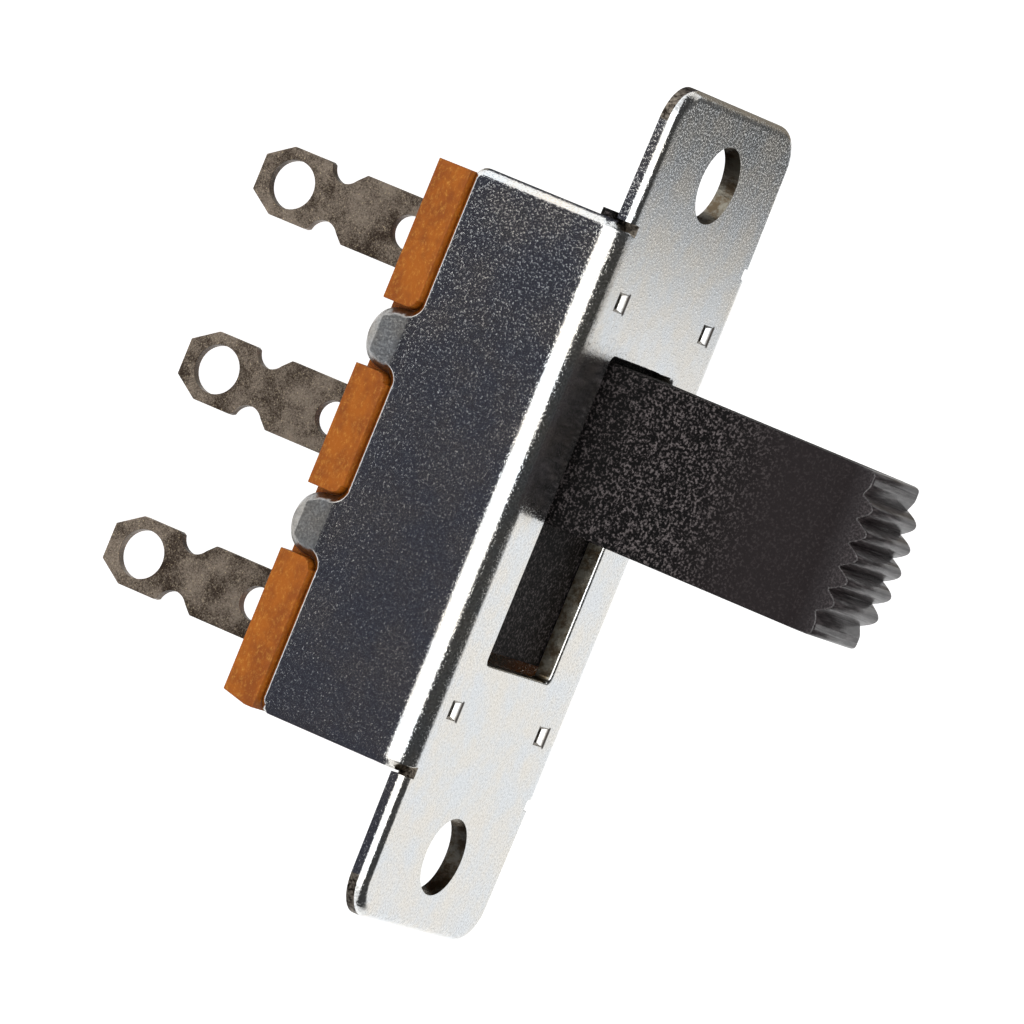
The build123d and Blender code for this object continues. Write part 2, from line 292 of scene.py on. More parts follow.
def zinc_plating(finish, sizes):
    """Bright zinc plating on folded steel."""
    # Electroplated zinc mirrors softly: a fine crystal grain sparkles, passivation clouds it warm and cool,
    # the tabs are rubbed satin where they were bent over and their colour is darkened there as painted shade,
    # and a painted dark line stands in for shade along one rim of each dimple
    material, tree = new_material("zinc_plated_steel")
    # Half the height over which the tabs turn satin and take their painted shade, and where along the travel
    # the crystals thin out
    tab_blend = 0.3 * MM
    thin_from, thin_to = -9.0 * MM, 5.0 * MM
    place = add(tree, "ShaderNodeTexCoord").outputs["Object"]
    grain = add(
        tree,
        "ShaderNodeTexNoise",
        {"Vector": place, "Scale": per(finish.zinc_grain), "Detail": 2.0, "Roughness": 0.6},
    )
    cloud = add(
        tree,
        "ShaderNodeTexNoise",
        {"Vector": place, "Scale": per(finish.zinc_cloud), "Detail": 6.0, "Roughness": 0.66},
    )
    tint = add(tree, "ShaderNodeMapRange", {"Value": cloud, "From Min": 0.35, "From Max": 0.65}, **SMOOTH)
    plating = add(
        tree,
        "ShaderNodeMix",
        {0: tint, MIX_A: rgba(finish.zinc_cool), MIX_B: rgba(finish.zinc_warm)},
        **COLOURS,
    )
    shade = add(
        tree,
        "ShaderNodeMapRange",
        {"Value": grain, "From Min": 0.34, "From Max": 0.62, "To Min": 0.68, "To Max": 1.0},
    )
    grained = add(
        tree, "ShaderNodeMix", {0: 1.0, MIX_A: plating, MIX_B: shade}, **COLOURS, blend_type="MULTIPLY"
    )
    axes = add(tree, "ShaderNodeSeparateXYZ", {"Vector": place}).outputs
    rubbed = add(
        tree,
        "ShaderNodeMapRange",
        {
            "Value": axes["Z"],
            "From Min": tab_blend - sizes.tab_level,
            "From Max": -tab_blend - sizes.tab_level,
        },
        **SMOOTH,
    )
    # The tabs' colour is halved as painted shade where they turn under the board; only their satin roughness
    # is real rubbing
    stain = add(tree, "ShaderNodeMapRange", {"Value": rubbed, "To Min": 1.0, "To Max": 0.5})
    stained = add(
        tree, "ShaderNodeMix", {0: 1.0, MIX_A: grained, MIX_B: stain}, **COLOURS, blend_type="MULTIPLY"
    )
    # A painted dark line, standing in for shade, runs along the far rim of each of the four dimples
    end = add(tree, "ShaderNodeMath", {0: axes["X"]}, operation="ABSOLUTE")
    off_end = add(tree, "ShaderNodeMath", {0: end, 1: sizes.dimple_x}, operation="SUBTRACT")
    along = add(tree, "ShaderNodeMath", {0: off_end}, operation="ABSOLUTE")
    side = add(tree, "ShaderNodeMath", {0: axes["Y"]}, operation="SIGN")
    middle = add(
        tree,
        "ShaderNodeMath",
        {0: side, 1: sizes.dimple_y, 2: sizes.dimple_half + sizes.dimple_shade_line / 4},
        operation="MULTIPLY_ADD",
    )
    off_rim = add(tree, "ShaderNodeMath", {0: axes["Y"], 1: middle}, operation="SUBTRACT")
    across = add(tree, "ShaderNodeMath", {0: off_rim}, operation="ABSOLUTE")
    near_rim = add(
        tree,
        "ShaderNodeMapRange",
        {
            "Value": across,
            "From Min": sizes.dimple_shade_line / 4,
            "From Max": sizes.dimple_shade_line * 3 / 4,
            "To Min": 1.0,
            "To Max": 0.0,
        },
        **SMOOTH,
    )
    rim_shade = add(
        tree,
        "ShaderNodeMapRange",
        {
            "Value": along,
            "From Min": sizes.dimple_half - sizes.dimple_shade_line / 4,
            "From Max": sizes.dimple_half + sizes.dimple_shade_line / 4,
            "To Min": near_rim,
            "To Max": 0.0,
        },
        **SMOOTH,
    )
    colour = add(
        tree, "ShaderNodeMix", {0: rim_shade, MIX_A: stained, MIX_B: rgba(finish.shear_dark_and_rim_shade)}, **COLOURS
    )
    dull = add(
        tree,
        "ShaderNodeMapRange",
        {"Value": cloud, "From Min": 0.3, "From Max": 0.7, "To Min": 0.11, "To Max": 0.18},
    )
    worn = add(tree, "ShaderNodeMapRange", {"Value": rubbed, "To Max": 0.36})
    satin = add(tree, "ShaderNodeMath", {0: dull, 1: worn}, operation="MAXIMUM")
    crystals = add(
        tree, "ShaderNodeMapRange", {"Value": grain, "From Min": 0.5, "From Max": 0.74}, **SMOOTH
    )
    thins = add(
        tree,
        "ShaderNodeMapRange",
        {"Value": axes["X"], "From Min": thin_from, "From Max": thin_to, "To Min": 1.0, "To Max": 0.8},
        **SMOOTH,
    )
    raised = add(tree, "ShaderNodeMath", {0: crystals, 1: thins}, operation="MULTIPLY")
    relief = add(tree, "ShaderNodeBump", {"Height": raised, "Distance": finish.zinc_relief})
    end_material(tree, {"Base Color": colour, "Metallic": 1.0, "Roughness": satin, "Normal": relief})
    return material


def sheared_edge(finish):
    """The sheared outer edge of the plated sheet."""
    # A sheared edge is part burnished and part torn, so it looks grey-brown, patchy and dull
    material, tree = new_material("sheared_steel_edge")
    place = add(tree, "ShaderNodeTexCoord").outputs["Object"]
    tear = add(
        tree,
        "ShaderNodeTexNoise",
        {"Vector": place, "Scale": per(finish.shear_tear), "Detail": 4.0, "Roughness": 0.65},
    )
    torn = add(tree, "ShaderNodeMapRange", {"Value": tear, "From Min": 0.35, "From Max": 0.65}, **SMOOTH)
    colour = add(
        tree,
        "ShaderNodeMix",
        {0: torn, MIX_A: rgba(finish.shear_dark_and_rim_shade), MIX_B: rgba(finish.shear_light)},
        **COLOURS,
    )
    relief = add(tree, "ShaderNodeBump", {"Height": tear, "Distance": finish.shear_relief})
    end_material(tree, {"Base Color": colour, "Metallic": 1.0, "Roughness": 0.42, "Normal": relief})
    return material


def punched_wall(finish):
    """Walls that a punch burnished in the slot and the holes."""
    # The punch leaves these walls olive grey with upright chatter marks, and oil stained them brown in places
    material, tree = new_material("punched_steel_wall")
    place = add(tree, "ShaderNodeTexCoord").outputs["Object"]
    along = add(tree, "ShaderNodeMapping", {"Vector": place, "Scale": (1.0, 1.0, 0.35)})
    chatter = add(
        tree,
        "ShaderNodeTexNoise",
        {"Vector": along, "Scale": per(finish.cut_chatter), "Detail": 4.0, "Roughness": 0.65},
    )
    stain = add(
        tree,
        "ShaderNodeTexNoise",
        {"Vector": place, "Scale": per(finish.cut_chatter * 2), "Detail": 5.0, "Roughness": 0.7},
    )
    clean = add(tree, "ShaderNodeMapRange", {"Value": stain, "From Min": 0.4, "From Max": 0.6}, **SMOOTH)
    colour = add(
        tree,
        "ShaderNodeMix",
        {0: clean, MIX_A: rgba(finish.cut_dark), MIX_B: rgba(finish.cut_colour)},
        **COLOURS,
    )
    relief = add(tree, "ShaderNodeBump", {"Height": chatter, "Distance": finish.cut_relief})
    end_material(tree, {"Base Color": colour, "Metallic": 1.0, "Roughness": 0.34, "Normal": relief})
    return material


def phenolic_laminate(finish):
    """Punched paper laminate in brown resin."""
    # Pressed paper in resin: orange-brown, mottled with lighter fibre flecks and darker resin
    material, tree = new_material("phenolic_paper_laminate")
    place = add(tree, "ShaderNodeTexCoord").outputs["Object"]
    along = add(tree, "ShaderNodeMapping", {"Vector": place, "Scale": (0.7, 0.7, 1.0)})
    fibre = add(
        tree,
        "ShaderNodeTexNoise",
        {"Vector": along, "Scale": per(finish.laminate_fibre), "Detail": 4.0, "Roughness": 0.7},
    )
    blotch = add(
        tree,
        "ShaderNodeTexNoise",
        {"Vector": along, "Scale": per(finish.laminate_blotch), "Detail": 4.0, "Roughness": 0.65},
    )
    dark = add(tree, "ShaderNodeMapRange", {"Value": blotch, "From Min": 0.35, "From Max": 0.7}, **SMOOTH)
    resin = add(
        tree,
        "ShaderNodeMix",
        {0: dark, MIX_A: rgba(finish.laminate_mid), MIX_B: rgba(finish.laminate_dark)},
        **COLOURS,
    )
    fleck = add(
        tree,
        "ShaderNodeMapRange",
        {"Value": fibre, "From Min": 0.48, "From Max": 0.8, "To Max": 0.7},
        **SMOOTH,
    )
    colour = add(
        tree, "ShaderNodeMix", {0: fleck, MIX_A: resin, MIX_B: rgba(finish.laminate_light)}, **COLOURS
    )
    relief = add(tree, "ShaderNodeBump", {"Height": fibre, "Distance": finish.laminate_relief})
    end_material(
        tree,
        {
            "Base Color": colour,
            "Roughness": 0.5,
            "IOR": 1.6,
            "Specular IOR Level": 0.25,
            "Normal": relief,
        },
    )
    return material


def tinned_brass(finish):
    """Stamped brass lugs with a dull tin finish."""
    # Old tin looks grey-brown and satin, peppered with tarnish flecks and a few golden specks that are
    # painted glints
    material, tree = new_material("tinned_brass")
    place = add(tree, "ShaderNodeTexCoord").outputs["Object"]
    fleck = add(
        tree,
        "ShaderNodeTexNoise",
        {"Vector": place, "Scale": per(finish.tin_fleck), "Detail": 3.0, "Roughness": 0.7},
    )
    patch = add(
        tree,
        "ShaderNodeTexNoise",
        {"Vector": place, "Scale": per(finish.tin_patch), "Detail": 4.0, "Roughness": 0.6},
    )
    both = add(tree, "ShaderNodeMath", {0: fleck, 1: patch}, operation="ADD")
    clean = add(tree, "ShaderNodeMapRange", {"Value": both, "From Min": 0.78, "From Max": 1.25}, **SMOOTH)
    tarnish = add(
        tree,
        "ShaderNodeMix",
        {0: clean, MIX_A: rgba(finish.tin_dark), MIX_B: rgba(finish.tin_light)},
        **COLOURS,
    )
    # Golden specks at the top of the fleck noise are painted glints
    worn = add(tree, "ShaderNodeMapRange", {"Value": fleck, "From Min": 0.63, "From Max": 0.72}, **SMOOTH)
    colour = add(tree, "ShaderNodeMix", {0: worn, MIX_A: tarnish, MIX_B: rgba(finish.tin_glint)}, **COLOURS)
    dull = add(
        tree,
        "ShaderNodeMapRange",
        {"Value": patch, "From Min": 0.3, "From Max": 0.7, "To Min": 0.52, "To Max": 0.38},
    )
    relief = add(tree, "ShaderNodeBump", {"Height": fleck, "Distance": finish.tin_relief})
    end_material(tree, {"Base Color": colour, "Metallic": 1.0, "Roughness": dull, "Normal": relief})
    return material


def black_moulding(finish):
    """Moulded black nylon with spark-eroded sides."""
    # The mould's spark grain is bumped, with light specks on its peaks as painted glints between black pits.
    # The painted glints are held back near the frame as painted shade and fade half way up with the grain,
    # and the ridges at the end are smooth, glossier in streaks and painted lighter there as a painted sheen
    material, tree = new_material("black_moulded_nylon")
    # Heights above the frame's face from which and up to which each change runs
    grain_from, grain_full = 0.6 * MM, 2.4 * MM
    smooth_from, smooth_full = 4.4 * MM, 8.8 * MM
    satin_from, satin_full = 10.0 * MM, 11.6 * MM
    polish_from, polish_full = 11.0 * MM, 12.0 * MM
    rub_from, rub_full = 11.4 * MM, 12.4 * MM
    place = add(tree, "ShaderNodeTexCoord").outputs["Object"]
    height = add(tree, "ShaderNodeSeparateXYZ", {"Vector": place}).outputs["Z"]
    grain = add(
        tree,
        "ShaderNodeTexNoise",
        {"Vector": place, "Scale": per(finish.moulding_grain), "Detail": 2.0, "Roughness": 0.55},
    )
    # Low near the frame the grain and its painted glints are weaker, which darkens the base as painted shade
    rise_and_base_shade = add(
        tree,
        "ShaderNodeMapRange",
        {"Value": height, "From Min": grain_from, "From Max": grain_full, "To Min": 0.6},
        **SMOOTH,
    )
    smooth = add(
        tree,
        "ShaderNodeMapRange",
        {"Value": height, "From Min": smooth_from, "From Max": smooth_full},
        **SMOOTH,
    )
    fades = add(tree, "ShaderNodeMapRange", {"Value": smooth, "To Min": 1.0, "To Max": 0.12})
    depth = add(tree, "ShaderNodeMath", {0: rise_and_base_shade, 1: fades}, operation="MULTIPLY")
    carved = add(tree, "ShaderNodeMath", {0: grain, 1: depth}, operation="MULTIPLY")
    ground = add(
        tree,
        "ShaderNodeMix",
        {0: smooth, MIX_A: rgba(finish.moulding_pit), MIX_B: rgba(finish.moulding)},
        **COLOURS,
    )
    # Light specks on the grain's peaks are painted glints
    painted_glints = add(
        tree,
        "ShaderNodeMapRange",
        {"Value": grain, "From Min": 0.47, "From Max": 0.73, "To Max": depth},
        **SMOOTH,
    )
    grained = add(
        tree, "ShaderNodeMix", {0: painted_glints, MIX_A: ground, MIX_B: rgba(finish.moulding_glint)}, **COLOURS
    )
    across = add(tree, "ShaderNodeMapping", {"Vector": place, "Scale": (1.0, 0.12, 1.0)})
    streak = add(
        tree,
        "ShaderNodeTexNoise",
        {"Vector": across, "Scale": per(finish.moulding_streak), "Detail": 3.0, "Roughness": 0.6},
    )
    gloss = add(
        tree,
        "ShaderNodeMapRange",
        {"Value": streak, "From Min": 0.35, "From Max": 0.65, "To Min": 0.4, "To Max": 0.8},
    )
    polish = add(
        tree,
        "ShaderNodeMapRange",
        {
            "Value": height,
            "From Min": polish_from,
            "From Max": polish_full,
            "To Min": 0.1,
            "To Max": gloss,
        },
        **SMOOTH,
    )
    streaks = add(
        tree,
        "ShaderNodeMapRange",
        {"Value": streak, "From Min": 0.42, "From Max": 0.8, "To Max": 0.7},
        **SMOOTH,
    )
    # Lighter streaks on the ridge tops are a painted sheen where they were polished
    rubbed = add(
        tree,
        "ShaderNodeMapRange",
        {"Value": height, "From Min": rub_from, "From Max": rub_full, "To Max": streaks},
        **SMOOTH,
    )
    colour = add(
        tree, "ShaderNodeMix", {0: rubbed, MIX_A: grained, MIX_B: rgba(finish.moulding_sheen)}, **COLOURS
    )
    matt = add(
        tree,
        "ShaderNodeMapRange",
        {"Value": height, "From Min": satin_from, "From Max": satin_full, "To Min": 0.6, "To Max": 0.3},
    )
    relief = add(tree, "ShaderNodeBump", {"Height": carved, "Distance": finish.moulding_relief})
    end_material(
        tree,
        {
            "Base Color": colour,
            "Roughness": matt,
            "IOR": 1.53,
            "Specular IOR Level": polish,
            "Normal": relief,
        },
    )
    return material


def contact_bronze(finish):
    """Rolled phosphor bronze."""
    # Rolled bronze has faint lines along the strip and a warm satin shine
    material, tree = new_material("phosphor_bronze_strip")
    place = add(tree, "ShaderNodeTexCoord").outputs["Object"]
    along = add(tree, "ShaderNodeMapping", {"Vector": place, "Scale": (0.05, 1.0, 1.0)})
    lines = add(
        tree, "ShaderNodeTexNoise", {"Vector": along, "Scale": per(finish.bronze_line), "Detail": 2.0}
    )
    dull = add(tree, "ShaderNodeMapRange", {"Value": lines, "To Min": 0.2, "To Max": 0.42})
    end_material(tree, {"Base Color": rgba(finish.bronze), "Metallic": 1.0, "Roughness": dull})
    return material


def spring_steel(finish):
    """Drawn spring wire."""
    # Drawn wire is bright and slightly streaked
    material, tree = new_material("drawn_spring_wire")
    place = add(tree, "ShaderNodeTexCoord").outputs["Object"]
    streak = add(
        tree, "ShaderNodeTexNoise", {"Vector": place, "Scale": per(finish.spring_streak), "Detail": 2.0}
    )
    dull = add(tree, "ShaderNodeMapRange", {"Value": streak, "To Min": 0.18, "To Max": 0.36})
    end_material(tree, {"Base Color": rgba(finish.spring), "Metallic": 1.0, "Roughness": dull})
    return material


def new_tree(name, inputs):
    """A geometry tree with named inputs and one geometry output."""
    tree = bpy.data.node_groups.new(name, "GeometryNodeTree")
    for label, kind in inputs.items():
        tree.interface.new_socket(label, in_out="INPUT", socket_type="NodeSocket" + kind)
    tree.interface.new_socket("Geometry", in_out="OUTPUT", socket_type="NodeSocketGeometry")
    return tree


def end_tree(tree, geometry, material):
    """Makes the instances real, gives them their material and hands them out."""
    real = add(tree, "GeometryNodeRealizeInstances", {"Geometry": geometry})
    done = add(tree, "GeometryNodeSetMaterial", {"Geometry": real, "Material": material})
    add(tree, "NodeGroupOutput", {"Geometry": done})


def lug_row_tree():
    """Repeats a lug along the board."""
    tree = new_tree(
        "lug_row",
        {"Geometry": "Geometry", "Count": "Int", "Start": "Vector", "Step": "Vector", "Material": "Material"},
    )
    given = add(tree, "NodeGroupInput").outputs
    line = add(
        tree,
        "GeometryNodeMeshLine",
        {"Count": given["Count"], "Start Location": given["Start"], "Offset": given["Step"]},
    )
    row = add(tree, "GeometryNodeInstanceOnPoints", {"Points": line, "Instance": given["Geometry"]})
    end_tree(tree, row, given["Material"])
    return tree


def winding_tree():
    """Winds round wire into a coil."""
    tree = new_tree(
        "spring_winding",
        {
            "Turns": "Float",
            "Radius": "Float",
            "Height": "Float",
            "Wire": "Float",
            "Base": "Vector",
            "Material": "Material",
        },
    )
    given = add(tree, "NodeGroupInput").outputs
    coil = add(
        tree,
        "GeometryNodeCurveSpiral",
        {
            "Resolution": COIL_POINTS,
            "Rotations": given["Turns"],
            "Start Radius": given["Radius"],
            "End Radius": given["Radius"],
            "Height": given["Height"],
        },
    )
    placed = add(tree, "GeometryNodeTransform", {"Geometry": coil, "Translation": given["Base"]})
    wire = add(
        tree, "GeometryNodeCurvePrimitiveCircle", {"Resolution": WIRE_POINTS, "Radius": given["Wire"]}
    )
    swept = add(
        tree, "GeometryNodeCurveToMesh", {"Curve": placed, "Profile Curve": wire, "Fill Caps": True}
    )
    end_tree(tree, swept, given["Material"])
    return tree


def use_tree(piece, tree, values):
    """Puts a node tree on a piece and sets its inputs by their identifiers."""
    modifier = piece.modifiers.new(tree.name, "NODES")
    modifier.node_group = tree
    for item in tree.interface.items_tree:
        if item.in_out == "INPUT" and item.name in values:
            modifier[item.identifier] = values[item.name]


class SWITCH_OT_frame(bpy.types.Operator):
    """Dresses the folded frame in zinc plating with sheared and punched edges"""

    bl_idname = "switch.frame"
    bl_label = "Frame"

    # How far a face may lean from a direction and still count as facing it
    lean = 0.2
    # How far in from an end of the frame the ears reach at least
    ear_share = 0.1
    # Faces of a dimple that turn further than this to the near side keep the plating; the others take the
    # dark sheared-edge colour as painted shade in the recess
    bright_turn = 0.5
    # Places of the materials on the piece
    torn, cut = 1, 2

    def execute(self, context):
        finish = context.scene.switch_finish
        sizes = context.scene.switch_sizes
        piece = merged_copy("frame", "folded_frame", BROKEN_ANGLE)
        for material in (zinc_plating(finish, sizes), sheared_edge(finish), punched_wall(finish)):
            piece.data.materials.append(material)
        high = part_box("frame")[1]
        points = [vertex.co for vertex in piece.data.vertices]
        ears = [point for point in points if abs(point.x) > high.x * (1 - self.ear_share)]
        sheet = high.z - min(point.z for point in ears)
        ear_half = max(point.y for point in ears)
        for face in piece.data.polygons:
            normal, place = face.normal, face.center
            in_sheet = place.z > high.z - sheet
            inside = abs(place.y) < ear_half - 2 * sheet and abs(place.x) < high.x - sheet
            sunk = in_sheet and place.z < high.z - WELD and self.in_dimple(place, sizes)
            if in_sheet and abs(normal.z) < self.lean and abs(place.y) < ear_half:
                face.material_index = self.cut if inside else self.torn
            elif not in_sheet and abs(normal.y) < self.lean:
                face.material_index = self.torn
            # Dimple floors and walls turned away from the near side get the dark sheared-edge colour as
            # painted shade
            elif sunk and normal.y > -self.bright_turn:
                face.material_index = self.torn
        weigh_normals(piece)
        make_plain(piece)
        seat(piece, BODY, "plated_steel", "frame")
        return {"FINISHED"}

    def in_dimple(self, place, sizes):
        """Tells whether a place lies within one of the four dimples, seen from above."""
        off_x = abs(abs(place.x) - sizes.dimple_x)
        off_y = abs(abs(place.y) - sizes.dimple_y)
        return max(off_x, off_y) < sizes.dimple_half


class SWITCH_OT_board(bpy.types.Operator):
    """Dresses the terminal board in brown laminate"""

    bl_idname = "switch.board"
    bl_label = "Terminal board"

    def execute(self, context):
        piece = merged_copy("terminal_board", "laminate_board")
        piece.data.materials.append(phenolic_laminate(context.scene.switch_finish))
        break_edges(piece, context.scene.switch_sizes.board_edge)
        make_plain(piece)
        seat(piece, BODY, "phenolic_laminate", "terminal_board")
        return {"FINISHED"}


class SWITCH_OT_lugs(bpy.types.Operator):
    """Dresses one solder lug in tin and repeats it along the board"""

    bl_idname = "switch.lugs"
    bl_label = "Solder lugs"

    def execute(self, context):
        sizes = context.scene.switch_sizes
        material = tinned_brass(context.scene.switch_finish)
        piece = merged_copy("terminal_2", "solder_lugs")
        break_edges(piece, sizes.lug_edge)
        use_tree(
            piece,
            lug_row_tree(),
            {
                "Count": sizes.lug_count,
                "Start": (-sizes.lug_pitch * (sizes.lug_count - 1) / 2, 0, 0),
                "Step": (sizes.lug_pitch, 0, 0),
                "Material": material,
            },
        )
        make_plain(piece)
        seat(piece, BODY, "tinned_brass", "terminal_1", "terminal_2", "terminal_3")
        return {"FINISHED"}


class SWITCH_OT_slider(bpy.types.Operator):
    """Dresses the slider in grained black nylon and rounds its ridges"""

    bl_idname = "switch.slider"
    bl_label = "Slider"

    # Points from a crest to a valley, and the powers that make end corners tight and the crown flat
    steps = 9
    corner_power, fall_power = 7.0, 3.0

    def execute(self, context):
        piece = merged_copy("slider", "black_slider", BROKEN_ANGLE)
        piece.data.materials.append(black_moulding(context.scene.switch_finish))
        self.round_ridges(piece, context.scene.switch_sizes)
        weigh_normals(piece)
        make_plain(piece)
        seat(piece, SLIDER_BODY, "black_moulding", "slider")
        return {"FINISHED"}

    def ridge_line(self, sizes, half_length, top):
        """Points of the ridged end from one corner to the other, seen from the side."""
        count = sizes.ridge_count
        pitch = 2 * half_length / count
        line = []
        for ridge in range(count):
            crest_at = (ridge - (count - 1) / 2) * pitch
            crest = top - sizes.ridge_fall * (abs(crest_at) / half_length) ** self.fall_power
            for step in range(-self.steps, self.steps + 1):
                turn = math.sin(step / self.steps * math.pi / 2)
                at = crest_at + turn * pitch / 2
                rise = math.cos(turn * math.pi / 2)
                if abs(at) > half_length - pitch / 2:
                    rise = math.sqrt(1 - abs(turn) ** self.corner_power)
                valley = top - sizes.ridge_depth - sizes.valley_fall * (abs(at) / half_length) ** 2
                line.append(Vector((at, valley + (crest - valley) * rise)))
            if ridge < count - 1:
                line.pop()
        return line

    def outline(self, sizes, half_length, top, inset):
        """The ridged end and its two straight sides, moved into the material by the inset."""
        line = self.ridge_line(sizes, half_length, top)
        root = top - sizes.ridge_root
        edge = half_length - inset
        inner = []
        for before, point, after in zip(line, line[1:], line[2:]):
            way = (after - before).normalized()
            moved = point + Vector((way.y, -way.x)) * inset
            inner.append(Vector((max(-edge, min(edge, moved.x)), moved.y)))
        return [Vector((-edge, root)), *inner, Vector((edge, root))]

    def round_ridges(self, piece, sizes):
        """Cuts the ridged end off the welded copy and builds it again with round crests."""
        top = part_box("slider")[1].z
        root = top - sizes.ridge_root
        grip = [vertex.co for vertex in piece.data.vertices if vertex.co.z > root]
        low_x, high_x = min(point.x for point in grip), max(point.x for point in grip)
        half_length, half_width = (high_x - low_x) / 2, max(point.y for point in grip)
        middle = (low_x + high_x) / 2
        shape = bmesh.new()
        shape.from_mesh(piece.data)
        everything = [*shape.verts, *shape.edges, *shape.faces]
        bmesh.ops.bisect_plane(
            shape, geom=everything, dist=WELD, plane_co=(0, 0, root), plane_no=(0, 0, 1), clear_outer=True
        )
        rings = []
        for side, inset in ((-1, sizes.grip_edge), (-1, 0), (1, 0), (1, sizes.grip_edge)):
            across = side * (half_width - sizes.grip_edge + inset)
            line = self.outline(sizes, half_length, top, inset)
            rings.append([shape.verts.new((middle + point.x, across, point.y)) for point in line])
        for near, far in zip(rings, rings[1:]):
            for here in range(len(near) - 1):
                shape.faces.new((near[here], near[here + 1], far[here + 1], far[here]))
        shape.faces.new(rings[0])
        shape.faces.new(rings[-1])
        bmesh.ops.remove_doubles(shape, verts=shape.verts, dist=WELD)
        bmesh.ops.dissolve_limit(shape, angle_limit=FLAT_ANGLE, verts=shape.verts, edges=shape.edges)
        bmesh.ops.recalc_face_normals(shape, faces=shape.faces)
        open_edges = [edge for edge in shape.edges if not edge.is_manifold]
        if open_edges:
            raise RuntimeError(f"the ridged end leaves {len(open_edges)} open edges")
        shape.to_mesh(piece.data)
        shape.free()
        piece.data.shade_smooth()
        piece.data.set_sharp_from_angle(angle=BROKEN_ANGLE)


class SWITCH_OT_contacts(bpy.types.Operator):
    """Dresses the contact bridge in bronze and winds the spring above it"""

    bl_idname = "switch.contacts"
    bl_label = "Bridge and spring"

    def execute(self, context):
        finish = context.scene.switch_finish
        sizes = context.scene.switch_sizes
        bridge = merged_copy("moving_contact", "bridge_contact")
        bridge.data.materials.append(contact_bronze(finish))
        break_edges(bridge, sizes.bridge_edge)
        make_plain(bridge)
        seat(bridge, SLIDER_BODY, "contact_bronze", "moving_contact")
        low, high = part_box("contact_spring")
        wire = sizes.spring_wire / 2
        coil = bpy.data.objects.new("spring_coil", bpy.data.meshes.new("spring_coil"))
        context.scene.collection.objects.link(coil)
        use_tree(
            coil,
            winding_tree(),
            {
                "Turns": sizes.spring_turns,
                "Radius": (high.x - low.x) / 2 - wire,
                "Height": high.z - low.z - 2 * wire,
                "Wire": wire,
                "Base": ((low.x + high.x) / 2, (low.y + high.y) / 2, low.z + wire),
                "Material": spring_steel(finish),
            },
        )
        make_plain(coil)
        coil.data.shade_smooth()
        coil.data.set_sharp_from_angle(angle=CRISP_ANGLE)
        seat(coil, SLIDER_BODY, "spring_steel", "contact_spring")
        return {"FINISHED"}


